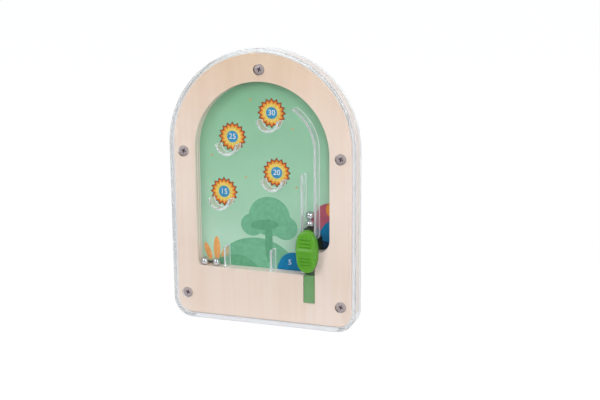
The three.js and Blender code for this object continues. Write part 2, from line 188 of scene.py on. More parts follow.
room = bpy.data.worlds.new("pale_room")
room.use_nodes = True
bpy.context.scene.world = room
tree = room.node_tree
tree.nodes.clear()
path, seen = seen_plainly(tree)
way = add(tree, "TexCoord", "Generated")
_, y, z = join(tree, "SeparateXYZ", way)
camera_right = (math.cos(azimuth), math.sin(azimuth), 0)
sideways = join(tree, "VectorMath", way, camera_right, operation="DOT_PRODUCT")["Value"]
beside = faded(tree, calc(tree, "ABSOLUTE", sideways), 0.2, 0.34)
above = faded(tree, z, 0.3, 0.45)
beyond = faded(tree, y, -0.15, 0.1)
pale = calc(tree, "MAXIMUM", calc(tree, "MULTIPLY", beside, above), beyond)
backdrop = light_up(tree, path, "Background", pale, y, -0.6, 1)
dim = add(tree, "Background", Color=(0.95, 0.97, 1, 1), Strength=0.66)
join(tree, "OutputWorld", join(tree, "MixShader", seen, dim, backdrop)[0])


# Floor: a white sheet under the toy. Its own glow keeps it white, and the toy's shadow shows on it.
# In mirrors and clear edges it ends in the dark before the toy, and the cover's face shows none.
def new_object(name, bm):
    mesh = bpy.data.meshes.new(name)
    bm.to_mesh(mesh)
    bm.free()
    made = bpy.data.objects.new(name, mesh)
    bpy.context.scene.collection.objects.link(made)
    return made


def new_material(name):
    """A material, its node tree and its shader."""
    made = bpy.data.materials.new(name)
    made.use_nodes = True
    return made, made.node_tree, made.node_tree.nodes["Principled BSDF"]


bm = bmesh.new()
bmesh.ops.create_grid(bm, x_segments=1, y_segments=1, size=6)
floor = new_object("floor", bm)
paper, tree, _ = new_material("white_floor")
tree.nodes.clear()
path, seen = seen_plainly(tree)
x, y, _ = join(tree, "SeparateXYZ", add(tree, "TexCoord", "Object"))
dark_front = faded(tree, y, -0.6, -0.22)
near = calc(tree, "ADD", y, calc(tree, "MULTIPLY", calc(tree, "ABSOLUTE", x), 0.5))
glow = light_up(tree, path, "Emission", dark_front, near, -0.1, 0.87)
shade = ramp(tree, path["Is Camera Ray"], ((0, (0, 0, 0)), (1, (0.2, 0.2, 0.205))))
sheet = join(tree, "AddShader", add(tree, "BsdfDiffuse", Color=shade), glow)[0]
plain = add(tree, "BsdfDiffuse", Color=(0.8, 0.8, 0.8, 1))
join(tree, "OutputMaterial", join(tree, "MixShader", seen, plain, sheet)[0])
floor.data.materials.append(paper)


# Back board: thin birch plywood, cut to the same arch as the frame. It closes the back, and the
# points of the five screws hold in it.
board_low, board_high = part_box("back_board")
wood_low, wood_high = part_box("wood_frame")
cover_low, cover_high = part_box("front_cover")
wood_half = wood_high[0]
wood_corner = 0.009
crown = cover_high[2] - cover_high[0]
overcut = 0.001
screw_bore = 0.0014
point_depth = 0.0019
screw_names = ("screw_top", "screw_left", "screw_right", "screw_bottom_left", "screw_bottom_right")
screw_places = []
for name in screw_names:
    low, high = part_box(name)
    screw_places.append(((low[0] + high[0]) / 2, (low[2] + high[2]) / 2))


def turn(bm, angle, axis, verts=None):
    matrix = Matrix.Rotation(angle, 3, axis)
    bmesh.ops.rotate(bm, cent=(0, 0, 0), matrix=matrix, verts=verts or bm.verts)


def stretch(bm, sizes, verts=None):
    bmesh.ops.scale(bm, vec=sizes, verts=verts or bm.verts)


def shift(bm, way, verts=None):
    bmesh.ops.translate(bm, vec=way, verts=verts or bm.verts)


def sweep(bm, geom, x, z, angle, steps, merge=False):
    """Turns what is given about an axis along Y, and gives what stands at its end."""
    swept = bmesh.ops.spin(
        bm,
        geom=geom,
        cent=(x, 0, z),
        axis=(0, 1, 0),
        angle=angle,
        steps=steps,
        use_merge=merge,
    )
    return swept["geom_last"]


def bevel(bm, geom, width, segments, affect):
    """Rounds the given corners or edges."""
    bmesh.ops.bevel(
        bm,
        geom=geom,
        offset=width,
        offset_type="OFFSET",
        affect=affect,
        segments=segments,
        profile=0.5,
        material=-1,
    )


def soften(bm, width, segments=2):
    """Rounds every sharp edge."""
    sharp = [e for e in bm.edges if e.is_manifold and e.calc_face_angle() > math.radians(50)]
    bevel(bm, sharp, width, segments, "EDGES")


def arch_top(bm, half, centre, y):
    """The half circle that closes an arch, as its right end and its left one."""
    right = bm.verts.new((half, y, centre))
    return right, sweep(bm, [right], 0, centre, -math.pi, 96)[0]


def close_outline(bm, start, places, end):
    """Runs straight edges from the start by the places to the end, and fills the outline."""
    corners = [bm.verts.new(place) for place in places]
    for a, b in zip([start, *corners], [*corners, end]):
        bm.edges.new((a, b))
    bmesh.ops.contextual_create(bm, geom=bm.edges[:])
    return corners


def arch_face(bm, half, foot, corner, y):
    """A flat face: a round arch on straight sides, with its two lower corners rounded."""
    right, left = arch_top(bm, half, crown, y)
    corners = close_outline(bm, left, [(-half, y, foot), (half, y, foot)], right)
    bevel(bm, corners, corner, 10, "VERTICES")


def thicken(bm, depth):
    """Pulls flat faces back along Y, so that they become closed blocks."""
    pulled = bmesh.ops.extrude_face_region(bm, geom=bm.faces[:])
    shift(bm, (0, depth, 0), [v for v in pulled["geom"] if isinstance(v, bmesh.types.BMVert)])
    bmesh.ops.recalc_face_normals(bm, faces=bm.faces[:])


def cylinder(radius, length):
    """A round rod about the Z axis, still to be placed."""
    bm = bmesh.new()
    bmesh.ops.create_cone(
        bm, cap_ends=True, segments=32, radius1=radius, radius2=radius, depth=length
    )
    return bm


def pin(x, z, radius, from_y, to_y):
    """A round rod along Y, to cut a hole."""
    bm = cylinder(radius, to_y - from_y)
    turn(bm, math.pi / 2, "X")
    shift(bm, (x, (from_y + to_y) / 2, z))
    return new_object("hole", bm)


def combine(piece, tool, operation):
    """Joins the tool to the piece, cuts it out or keeps what they share, and drops the tool."""
    boolean = piece.modifiers.new("boolean", "BOOLEAN")
    boolean.operation = operation
    boolean.solver = "EXACT"
    boolean.object = tool
    evaluated = piece.evaluated_get(bpy.context.evaluated_depsgraph_get())
    made = bpy.data.meshes.new_from_object(evaluated)
    piece.modifiers.clear()
    old = piece.data
    piece.data = made
    bpy.data.meshes.remove(old)
    bpy.data.objects.remove(tool)


def clean(piece):
    """Merges what a cut leaves double and takes out the edges that it leaves in flat faces."""
    bm = bmesh.new()
    bm.from_mesh(piece.data)
    bmesh.ops.remove_doubles(bm, verts=bm.verts[:], dist=1e-6)
    flat = math.radians(0.5)
    bmesh.ops.dissolve_limit(bm, angle_limit=flat, verts=bm.verts[:], edges=bm.edges[:])
    bm.to_mesh(piece.data)
    bm.free()


def ease(piece, width):
    """Breaks the sharp edges, as sanding does."""
    eased = piece.modifiers.new("eased_edges", "BEVEL")
    eased.limit_method = "ANGLE"
    eased.angle_limit = math.radians(50)
    eased.width = width
    eased.segments = 2


def smooth(piece, degrees=30):
    piece.data.polygons.foreach_set("use_smooth", [True] * len(piece.data.polygons))
    piece.data.set_sharp_from_angle(angle=math.radians(degrees))


def finish_piece(piece, material, body, slot, *stands_for):
    """Gives a piece its one material and its body, and hides the parts that it stands for. The
    slot, its finish, is not used.
    """
    piece.data.materials.clear()
    piece.data.materials.append(material)
    if stands_for:
        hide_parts(*stands_for)
    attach(piece, body)


def noise(tree, place, scale, detail=2, **inputs):
    return add(tree, "TexNoise", "Fac", Vector=place, Scale=scale, Detail=detail, **inputs)


def bumped(tree, height, strength, distance):
    return add(tree, "Bump", Strength=strength, Distance=distance, Height=height)


def blended(tree, factor, a, b, blend="MIX"):
    """Two colours, mixed or multiplied by the factor."""
    made = tree.nodes.new("ShaderNodeMix")
    made.data_type = "RGBA"
    made.blend_type = blend
    feed(tree, made, Factor=factor, A=a, B=b)
    return made.outputs["Result"]


def shaded(colour, share):
    return tuple(share * c for c in colour)


def faces_y(tree):
    """One on faces that look to the front or the back, and zero on those at right angles to it."""
    return calc(tree, "ABSOLUTE", join(tree, "SeparateXYZ", add(tree, "NewGeometry", "Normal"))[1])


def plywood(name, low, high, light, dark):
    """Sanded birch plywood: upright grain on its faces and its plies on its edges. The grain is
    paler or warmer in broad bands and up the toy, and painted shade darkens it along the foot."""
    made, tree, shader = new_material(name)
    place = add(tree, "TexCoord", "Object")
    _, y, z = join(tree, "SeparateXYZ", place)
    along = add(tree, "Mapping", Vector=place, Scale=(300, 300, 8))
    grain = noise(tree, along, 1, 6, Roughness=0.6)
    wide = add(tree, "Mapping", Vector=place, Scale=(42, 42, 2.6))
    figure = noise(tree, wide, 1, 3, Distortion=0.5)
    white = (1, 1, 1)
    fine_tone = ramp(tree, grain, ((0.3, dark), (0.62, light)))
    broad_tone = ramp(tree, figure, ((0.32, (0.945, 0.91, 0.865)), (0.66, white)))
    length_stops = (
        (0.1, (0.945, 0.925, 0.905)),
        (0.45, white),
        (0.7, (0.98, 0.955, 0.925)),
        (0.95, (0.905, 0.82, 0.7)),
    )
    length_tone = ramp(tree, faded(tree, z, 0, 0.158), length_stops)
    face = blended(tree, 0.85, fine_tone, broad_tone, "MULTIPLY")
    face = blended(tree, 1, face, length_tone, "MULTIPLY")
    pale, brown = shaded(light, 1.14), shaded(light, 0.9)
    ply_stops = ((0, pale), (0.2, brown), (0.4, pale), (0.6, brown), (0.8, pale))
    plies = ramp(tree, faded(tree, y, low, high), ply_stops, "CONSTANT")
    on_edge = calc(tree, "LESS_THAN", faces_y(tree), 0.5)
    wood = blended(tree, on_edge, face, plies)
    # Painted shade: the wood darkens towards 0.4 of its dark tone over the last 0.7 mm of its foot.
    foot = faded(tree, z, wood_low[2], wood_low[2] + 0.0007)
    foot_shade = ramp(tree, foot, ((0, shaded(dark, 0.4)), (1, white)))
    feed(
        tree,
        shader,
        Base_Color=blended(tree, 1, wood, foot_shade, "MULTIPLY"),
        Roughness=between(tree, grain, 0.5, 0.68),
        Specular_IOR_Level=0.2,
        Normal=bumped(tree, grain, 0.25, 0.0001),
    )
    return made


bm = bmesh.new()
arch_face(bm, wood_half, board_low[2], wood_corner, board_low[1])
thicken(bm, board_high[1] - board_low[1])
board = new_object("back_panel", bm)
for x, z in screw_places:
    hole = pin(x, z, screw_bore, board_low[1] - overcut, board_low[1] + point_depth)
    combine(board, hole, "DIFFERENCE")
clean(board)
ease(board, 0.0003)
smooth(board)
board_wood = plywood(
    "back_plywood", board_low[1], board_high[1], (0.85, 0.71, 0.58), (0.74, 0.59, 0.45)
)
finish_piece(board, board_wood, "case", "back_wood", "back_board")


# Playfield card: stiff printed board behind the window, held between the frame and the back board.
# Its green deepens towards the top, partly in the print and partly as painted shade from the frame,
# and the ink is a little uneven.
card_low, card_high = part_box("playfield_card")
sill = wood_low[2] + 0.0288
window_half = wood_half - 0.01275
window_crown = crown - 0.0029
card_play = wood_half - card_high[0]
bm = bmesh.new()
arch_face(bm, card_high[0], card_low[2], wood_corner - card_play, card_low[1])
thicken(bm, card_high[1] - card_low[1])
card = new_object("green_card", bm)
for x, z in screw_places:
    hole = pin(x, z, screw_bore, card_low[1] - overcut, card_high[1] + overcut)
    combine(card, hole, "DIFFERENCE")
clean(card)
smooth(card)


def card_tooth(tree, place):
    """The faint tooth of printed board."""
    return bumped(tree, noise(tree, place, 2200), 0.08, 0.00005)


card_green, tree, shader = new_material("card_green")
place = add(tree, "TexCoord", "Object")
height = faded(tree, join(tree, "SeparateXYZ", place)[2], sill, window_crown + window_half)
drift = noise(tree, add(tree, "Mapping", Vector=place, Scale=(14, 14, 55)), 1, 3)
uneven = calc(tree, "ADD", height, calc(tree, "MULTIPLY_ADD", drift, 0.5, -0.25))
# Darker green up the card: partly the print's own, partly painted shade cast by the frame over the
# window's top.
greens_and_shade = ((0.05, (0.455, 0.68, 0.525)), (0.45, (0.355, 0.605, 0.42)), (0.95, (0.25, 0.505, 0.31)))
feed(
    tree,
    shader,
    Base_Color=ramp(tree, uneven, greens_and_shade),
    Roughness=0.5,
    Specular_IOR_Level=0.15,
    Normal=card_tooth(tree, place),
)
finish_piece(card, card_green, "case", "printed_card", "playfield_card")


# Print: round starry targets with number discs at the four cups, a hill and a round tree, a blue
# mound at the right pocket, orange leaves at the left one, and rounded stones beside the plunger.
lane_x = window_half - 0.0122
lane_half = 0.003205
slot_half = lane_half + 0.0002
slot_foot = wood_low[2] + 0.0124
step = sill + 0.0137
ink_depth = 0.000015


def window_cutter():
    """The window as a block: its sill, the plunger's slot, the step to its right and its arch."""
    bm = bmesh.new()
    y = wood_low[1] - overcut
    right, left = arch_top(bm, window_half, window_crown, y)
    outline = (
        (-window_half, sill, 0.0025),
        (lane_x - slot_half, sill, 0),
        (lane_x - slot_half, slot_foot, 0.0008),
        (lane_x + slot_half, slot_foot, 0.0008),
        (lane_x + slot_half, step, 0.001),
        (window_half, step, 0.0074),
    )
    corners = close_outline(bm, left, [(x, y, z) for x, z, _ in outline], right)
    for corner, (_, _, radius) in zip(corners, outline):
        if radius:
            bevel(bm, [corner], radius, 10, "VERTICES")
    thicken(bm, card_low[1] + overcut - y)
    return new_object("window", bm)


def ink_material(name, colour):
    """One printed colour, a little uneven, on the card's tooth."""
    made, tree, shader = new_material(name)
    place = add(tree, "TexCoord", "Object")
    blots = noise(tree, place, 420, 4)
    feed(
        tree,
        shader,
        Base_Color=ramp(tree, blots, ((0.35, shaded(colour, 0.86)), (0.65, colour))),
        Roughness=0.5,
        Specular_IOR_Level=0.12,
        Normal=card_tooth(tree, place),
    )
    return made


inks = {
    name: ink_material("ink_" + name, colour)
    for name, colour in (
        ("dark_red", (0.105, 0.016, 0.006)),
        ("red", (0.58, 0.085, 0.022)),
        ("orange", (0.85, 0.33, 0.045)),
        ("yellow", (0.82, 0.62, 0.14)),
        ("disc_blue", (0.045, 0.3, 0.55)),
        ("white", (0.85, 0.88, 0.88)),
        ("leaf_green", (0.185, 0.48, 0.29)),
        ("deep_green", (0.13, 0.39, 0.22)),
        ("deep_blue", (0.003, 0.2, 0.42)),
        ("night_blue", (0.003, 0.045, 0.12)),
        ("crimson", (0.48, 0.11, 0.16)),
        ("black", (0.006, 0.006, 0.01)),
        # Dark brown for the painted shadow round the balls in the left pocket.
        ("earth_brown", (0.13, 0.115, 0.085)),
        ("pale_orange", (0.86, 0.4, 0.13)),
        # Pale green for painted light in the shade under the knob.
        ("slot_green", (0.34, 0.68, 0.3)),
    )
}


def printed(name, ink, layer, in_window, *patches):
    """Patches of one ink. Each is a circle of so many corners, stretched to its width and height.
    It may have every other corner drawn in to a share, its waist, and be turned."""
    bm = bmesh.new()
    for x, z, width, height, corners, *form in patches:
        waist, angle = form or (1, 0)
        made = bmesh.ops.create_circle(bm, cap_ends=True, segments=corners, radius=0.5)["verts"]
        stretch(bm, (waist, waist, 1), made[1::2])
        stretch(bm, (width, height, 1), made)
        turn(bm, angle, "Z", made)
        turn(bm, math.pi / 2, "X", made)
        shift(bm, (x, card_low[1] - layer * ink_depth, z), made)
    thicken(bm, (layer + 4) * ink_depth)
    made = new_object(name, bm)
    if in_window:
        combine(made, window_cutter(), "INTERSECT")
    finish_piece(made, inks[ink], "case", "printed_card")


discs = {
    "30": (0.0042, 0.1215),
    "25": (-0.0197, 0.1071),
    "20": (0.0068, 0.0878),
    "15": (-0.0256, 0.0749),
}
for name, ink, layer, size in (
    ("target_edge", "dark_red", 1, 0.0172),
    ("target_red", "red", 2, 0.0162),
    ("target_orange", "orange", 3, 0.0144),
    ("target_yellow", "yellow", 4, 0.0118),
):
    stars = [(x, z, size, size, 32, 0.8, 0) for x, z in discs.values()]
    printed(name, ink, layer, False, *stars)
rounds = [(x, z, 0.0067, 0.0067, 48) for x, z in discs.values()]
printed("number_discs", "disc_blue", 5, False, *rounds)
spark_places = (
    (-0.0085, 0.1285),
    (0.0165, 0.1130),
    (-0.0325, 0.0960),
    (-0.0120, 0.0840),
    (0.0185, 0.0800),
)
sparks = [(x, z, 0.0014, 0.0014, 8, 0.6, 0) for x, z in spark_places]
printed("sparks", "orange", 1, False, *sparks)
leaves = (
    (-0.0365, 0.0385, 0.0036, 0.0110, 24, 1, 0.35),
    (-0.0310, 0.0405, 0.0042, 0.0150, 24, 1, 0),
    (-0.0265, 0.0380, 0.0030, 0.0095, 24, 1, -0.3),
)
for name, ink, layer, in_window, *patches in (
    ("hill", "leaf_green", 1, True, (-0.0060, 0.0290, 0.0500, 0.0400, 96)),
    ("tree_crown", "leaf_green", 2, False, (0.0020, 0.0620, 0.0250, 0.0230, 96)),
    ("tree_low_crown", "leaf_green", 3, False, (0.0115, 0.0560, 0.0150, 0.0140, 64)),
    ("tree_side_crown", "leaf_green", 4, False, (-0.0085, 0.0565, 0.0140, 0.0130, 64)),
    ("tree_trunk", "deep_green", 3, False, (0.0015, 0.0480, 0.0045, 0.0260, 64)),
    ("tree_shade", "deep_green", 5, False, (-0.0010, 0.0570, 0.0170, 0.0060, 64, 1, 0.1)),
    ("near_hill", "deep_green", 2, True, (-0.0190, 0.0260, 0.0300, 0.0240, 96)),
    ("mound", "deep_blue", 3, True, (0.0165, 0.0300, 0.0200, 0.0240, 96)),
    ("leaves", "pale_orange", 1, False, *leaves),
    # A dark patch between and round the balls in the left pocket: painted shadow of the balls on
    # the card.
    ("earth", "earth_brown", 4, True, (-0.0335, 0.0300, 0.0130, 0.0060, 64)),
    # A pale green patch under the knob: painted light that lifts the shade the knob casts there.
    ("slot_ground", "slot_green", 6, True, (lane_x, 0.0300, 0.0110, 0.0120, 64)),
    ("stone_crimson", "crimson", 1, True, (0.0375, 0.0490, 0.0260, 0.0460, 96)),
    ("stone_orange", "orange", 2, True, (0.0402, 0.0686, 0.0085, 0.0095, 64)),
    ("stone_blue", "deep_blue", 3, True, (0.0410, 0.0480, 0.0200, 0.0290, 96)),
    ("stone_night", "night_blue", 4, True, (0.0345, 0.0440, 0.0110, 0.0130, 96)),
    ("stone_black", "black", 5, True, (0.0305, 0.0465, 0.0075, 0.0200, 96)),
):
    printed(name, ink, layer, in_window, *patches)


def numeral(digits, x, z, height):
    """Printed figures: lettering with the ink's thickness, made a mesh and set upright."""
    curve = bpy.data.curves.new("numeral", "FONT")
    curve.body = digits
    curve.size = height
    curve.align_x = "CENTER"
    curve.align_y = "CENTER"
    curve.extrude = ink_depth / 2
    letters = bpy.data.objects.new("numeral", curve)
    bpy.context.scene.collection.objects.link(letters)
    evaluated = letters.evaluated_get(bpy.context.evaluated_depsgraph_get())
    flat = bpy.data.meshes.new_from_object(evaluated)
    bpy.data.objects.remove(letters)
    place = Matrix.Translation((x, card_low[1] - 5.7 * ink_depth, z))
    flat.transform(place @ Matrix.Rotation(math.pi / 2, 4, "X"))
    made = bpy.data.objects.new("numeral_" + digits, flat)
    bpy.context.scene.collection.objects.link(made)
    finish_piece(made, inks["white"], "case", "printed_card")


for digits, (x, z) in discs.items():
    numeral(digits, x, z, 0.0044)
numeral("5", 0.0142, 0.0360, 0.0042)


# Wood frame: birch plywood, sanded and left matt. The window is routed through it, with the
# plunger's slot at the foot of the lane, and five holes take the screws.
bm = bmesh.new()
arch_face(bm, wood_half, wood_low[2], wood_corner, wood_low[1])
thicken(bm, wood_high[1] - wood_low[1])
wood = new_object("window_frame", bm)
combine(wood, window_cutter(), "DIFFERENCE")


def lathe(name, x, z, profile):
    """A shape turned about an axis along Y, from its radii and depths."""
    bm = bmesh.new()
    line = [bm.verts.new((x + radius, y, z)) for radius, y in profile]
    edges = [bm.edges.new(pair) for pair in zip(line, line[1:])]
    sweep(bm, [*line, *edges], x, z, 2 * math.pi, 48, merge=True)
    bmesh.ops.remove_doubles(bm, verts=bm.verts[:], dist=1e-7)
    bmesh.ops.recalc_face_normals(bm, faces=bm.faces[:])
    return new_object(name, bm)


def countersink(x, z):
    """The hole that takes a screw: a straight mouth for its head, a cone and a long bore."""
    crown_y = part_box("screw_top")[0][1]
    head_bore = 0.0031
    front, back = cover_low[1] - overcut, wood_high[1] + overcut
    profile = (
        (0, front),
        (head_bore, front),
        (head_bore, crown_y + 0.00025),
        (screw_bore, crown_y + 0.00195),
        (screw_bore, back),
        (0, back),
    )
    return lathe("countersink", x, z, profile)


for x, z in screw_places:
    combine(wood, countersink(x, z), "DIFFERENCE")
clean(wood)
ease(wood, 0.00025)
smooth(wood)
birch = plywood(
    "birch_plywood", wood_low[1], wood_high[1], (0.868, 0.742, 0.662), (0.85, 0.7, 0.605)
)
finish_piece(wood, birch, "case", "frame_wood", "wood_frame")


# Spring housing: a green moulded block pressed into the slot's foot, bored from its top for the
# spring and the guide rod.
spring_y = wood_low[1] + 0.004


def plate(x, y, z, width, height):
    """An upright rectangle that looks along Y."""
    bm = bmesh.new()
    bmesh.ops.create_grid(bm, x_segments=1, y_segments=1, size=0.5)
    turn(bm, math.pi / 2, "X")
    stretch(bm, (width, 1, height))
    shift(bm, (x, y, z))
    return bm


def rounded_block(name, z, width, height, corner, from_y, to_y, edge=0):
    """A block in the middle of the lane. Its edges along Y are rounded, and the others if asked."""
    bm = plate(lane_x, from_y, z, width, height)
    bevel(bm, bm.verts[:], corner, 8, "VERTICES")
    thicken(bm, to_y - from_y)
    if edge:
        soften(bm, edge, 3)
    return new_object(name, bm)


def filling_block(name, low, high, corner, edge):
    """A rounded block that fills a box."""
    middle, height = (low[2] + high[2]) / 2, high[2] - low[2]
    return rounded_block(name, middle, high[0] - low[0], height, corner, low[1], high[1], edge)


def post(name, radius, bottom, top, edge=0):
    """A round rod up the middle of the spring, with its rims rounded if asked."""
    bm = cylinder(radius, top - bottom)
    if edge:
        soften(bm, edge)
    shift(bm, (lane_x, spring_y, (bottom + top) / 2))
    return new_object(name, bm)


def moulded(name, colour, rough, glow=0):
    """Moulded plastic: even colour with faint flow in it, and a fine spark-eroded skin."""
    made, tree, shader = new_material(name)
    place = add(tree, "TexCoord", "Object")
    flow = noise(tree, place, 160, 3)
    feed(
        tree,
        shader,
        Base_Color=ramp(tree, flow, ((0.3, shaded(colour, 0.9)), (0.7, colour))),
        Roughness=between(tree, flow, rough - 0.05, rough + 0.08),
        Subsurface_Weight=glow,
        Subsurface_Radius=(0.6, 1, 0.3),
        Subsurface_Scale=0.002,
        Normal=bumped(tree, noise(tree, place, 5200), 0.12, 0.00004),
    )
    return made


housing_low, housing_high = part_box("spring_housing")
housing = filling_block("housing_block", housing_low, housing_high, 0.0008, 0.0007)
spring_bore = 0.0023
bore_floor = housing_low[2] + 0.002
combine(housing, post("bore", spring_bore, bore_floor, sill + overcut), "DIFFERENCE")
smooth(housing)
housing_green = moulded("housing_green", (0.165, 0.37, 0.135), 0.4, 0.1)
finish_piece(housing, housing_green, "case", "housing_plastic", "spring_housing")


# Spring: round steel wire coiled with closed ends. It stands in the housing's bore and pushes the
# plunger head up, and shortens as the knob is pulled down.
spring_low, spring_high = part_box("plunger_spring")
wire = 0.00025
coil = 0.00175
travel = 0.016
bm = bmesh.new()
section = bmesh.ops.create_circle(bm, cap_ends=True, segments=10, radius=wire)["verts"]
turn(bm, math.pi / 2, "X", section)
shift(bm, (lane_x + coil, spring_y, spring_low[2] + wire), section)
end = [*bm.verts, *bm.edges, *bm.faces]
closed_rise = 2.2 * wire
open_rise = spring_high[2] - spring_low[2] - 2 * wire - 2 * closed_rise
for curls, rise in ((1, closed_rise), (10, open_rise), (1, closed_rise)):
    steps = 28 * curls
    coiled = bmesh.ops.spin(
        bm,
        geom=end,
        cent=(lane_x, spring_y, 0),
        axis=(0, 0, 1),
        dvec=(0, 0, rise / steps),
        angle=2 * math.pi * curls,
        steps=steps,
    )
    end = coiled["geom_last"]
bmesh.ops.recalc_face_normals(bm, faces=bm.faces[:])
spring = new_object("coil_spring", bm)
smooth(spring, 60)


def steel(name, colour, rough, mark_scale, bare=1):
    """Bare or plated steel with fine turning marks and handling wear."""
    made, tree, shader = new_material(name)
    marks = noise(tree, add(tree, "TexCoord", "Object"), mark_scale, 5)
    feed(
        tree,
        shader,
        Base_Color=ramp(tree, marks, ((0.35, shaded(colour, 0.8)), (0.6, colour))),
        Metallic=bare,
        Roughness=between(tree, marks, 0.7 * rough, 1.4 * rough),
        Normal=bumped(tree, marks, 0.1, 0.00003),
    )
    return made


spring_wire = steel("spring_wire", (0.55, 0.56, 0.58), 0.28, 1800)
finish_piece(spring, spring_wire, "case", "spring_steel", "plunger_spring")
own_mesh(spring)


# Guide rod: a bright steel pin, pressed into a socket in the plunger head's foot. It runs down
# through the spring into the housing's bore, and keeps the spring straight.
rod_low, rod_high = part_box("guide_rod")
rod = post("steel_rod", rod_high[0] - lane_x, rod_low[2], rod_high[2], 0.0002)
smooth(rod)
bright_pin = steel("bright_pin", (0.6, 0.61, 0.63), 0.2, 2400)
finish_piece(rod, bright_pin, "plunger", "rod_steel", "guide_rod")


# Plunger head: black moulded block that runs in the lane and carries the balls. The knob's stem
# fits a pocket in its front, and the rod a socket in its foot.
head_low, head_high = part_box("plunger_head")
head = filling_block("head_block", head_low, head_high, 0.0006, 0.00025)
stem_width = 0.0038
stem_height = 0.007
stem_top = head_high[2] - 0.0025
stem_z = stem_top - stem_height / 2
tenon_back = head_low[1] + 0.002
pocket = rounded_block(
    "pocket",
    stem_z,
    stem_width + 0.0002,
    stem_height + 0.0002,
    0.0014,
    head_low[1] - overcut,
    tenon_back + 0.0001,
)
combine(head, pocket, "DIFFERENCE")
rod_bore = 0.0009
socket = post("socket", rod_bore, head_low[2] - overcut, head_low[2] + 0.003)
combine(head, socket, "DIFFERENCE")
seat_radius = 0.0016
screw_seat = pin(lane_x, stem_z, seat_radius, head_high[1] - 0.0011, head_high[1] + overcut)
combine(head, screw_seat, "DIFFERENCE")
smooth(head)
head_black = moulded("head_black", (0.012, 0.012, 0.013), 0.38)
finish_piece(head, head_black, "plunger", "head_plastic", "plunger_head")


# Knob: bright green moulding outside the cover. Its front rises to a crest at mid-height, with a
# flat panel between two side slopes and three grip ridges above and below the crest.
knob_half = 0.0064
knob_half_height = 0.01225
knob_back = cover_low[1] - 0.0003
knob_z = head_high[2] - knob_half_height
panel_half = 0.0043
crest_z = knob_z + 0.0007
crest_rise = 0.0056
end_fall = 0.0025
lip_rise = 0.0004
lip_share = 0.12
side_fall = 0.5


def knob_depth(x, z):
    """How far the knob's front stands before its back, with a low lip along its crest."""
    up = abs(z - crest_z) / knob_half_height
    out = max(abs(x - lane_x) - panel_half, 0) / (knob_half - panel_half)
    lip = lip_rise * math.exp(-((up / lip_share) ** 2))
    return (crest_rise - end_fall * up**1.1 + lip) * (1 - side_fall * out**1.6)


bm = bmesh.new()
bmesh.ops.create_circle(bm, cap_ends=False, segments=160, radius=1)
fullness = 2 / 2.2
for v in bm.verts:
    x = math.copysign(abs(v.co.x) ** fullness, v.co.x)
    z = math.copysign(abs(v.co.y) ** fullness, v.co.y)
    v.co = (lane_x + x * knob_half, knob_back, knob_z + z * knob_half_height)
bmesh.ops.contextual_create(bm, geom=bm.edges[:])
loop = bm.edges[:]
size = 1
fillet = 0.0007
rings = [
    (1 - fillet * (1 - math.cos(t)) / knob_half, fillet * (1 - math.sin(t)))
    for t in (0, 0.4, 0.8, 1.2, 1.57)
]
ring_count, widest_ring = 54, 47
rings += [(count / ring_count, 0) for count in range(widest_ring, 0, -1)]
for share, sunk in rings:
    grown = bmesh.ops.extrude_edge_only(bm, edges=loop)["geom"]
    ring = [v for v in grown if isinstance(v, bmesh.types.BMVert)]
    ring_edges = set(e for v in ring for e in v.link_edges)
    loop = [e for e in ring_edges if e.verts[0] in ring and e.verts[1] in ring]
    bmesh.ops.scale(
        bm,
        vec=(share / size, 1, share / size),
        space=Matrix.Translation((-lane_x, 0, -knob_z)),
        verts=ring,
    )
    size = share
    for v in ring:
        v.co.y = knob_back - knob_depth(v.co.x, v.co.z) + sunk
bmesh.ops.contextual_create(bm, geom=loop)
bmesh.ops.recalc_face_normals(bm, faces=bm.faces[:])
knob = new_object("grip_knob", bm)


ridge_radius = 0.0005
ridge_sunk = 0.00005
groove_radius = 0.0004
groove_drop = 0.0007


def grip_bar(z, radius, sunk):
    """A short bar with round ends across the knob's panel."""
    bm = bmesh.new()
    bmesh.ops.create_uvsphere(bm, u_segments=20, v_segments=12, radius=radius)
    turn(bm, math.pi / 2, "Y")
    bar_half = 0.003
    for v in bm.verts:
        v.co.x += math.copysign(bar_half - radius, v.co.x) if abs(v.co.x) > 1e-7 else 0
    shift(bm, (lane_x, knob_back - knob_depth(lane_x, z) + sunk, z))
    return new_object("bar", bm)


for up in (0.0032, 0.0052, 0.0072):
    for z in (crest_z + up, crest_z - up):
        combine(knob, grip_bar(z - groove_drop, groove_radius, 0), "DIFFERENCE")
        combine(knob, grip_bar(z, ridge_radius, ridge_sunk), "UNION")
stem = rounded_block(
    "stem", stem_z, stem_width, stem_height, 0.0013, knob_back - overcut, tenon_back
)
combine(knob, stem, "UNION")
smooth(knob, 35)
knob_green = moulded("knob_green", (0.11, 0.39, 0.016), 0.24, 0.3)
finish_piece(knob, knob_green, "plunger", "knob_plastic", "plunger_knob")


# Screws: plated steel, their heads cross-recessed. Five countersunk ones hold the case together,
# and a small one with a pan head holds the plunger head to the knob's stem.
def cross_screw(name, x, z, profile, recess, side=-1):
    """A turned screw with a cross sunk in its crown."""
    made = lathe(name, x, z, profile)
    crown_y = profile[0][1]
    for quarter in (0, math.pi / 2):
        bm = bmesh.new()
        bmesh.ops.create_cube(bm, size=1)
        stretch(bm, (0.35, 1, 0.6), [v for v in bm.verts if v.co.y * side < 0])
        stretch(bm, (2 * recess, 1.5 * recess, 0.42 * recess))
        turn(bm, quarter + 0.35, "Y")
        shift(bm, (x, crown_y - side * 0.1 * recess, z))
        combine(made, new_object("recess", bm), "DIFFERENCE")
    smooth(made, 40)
    return made


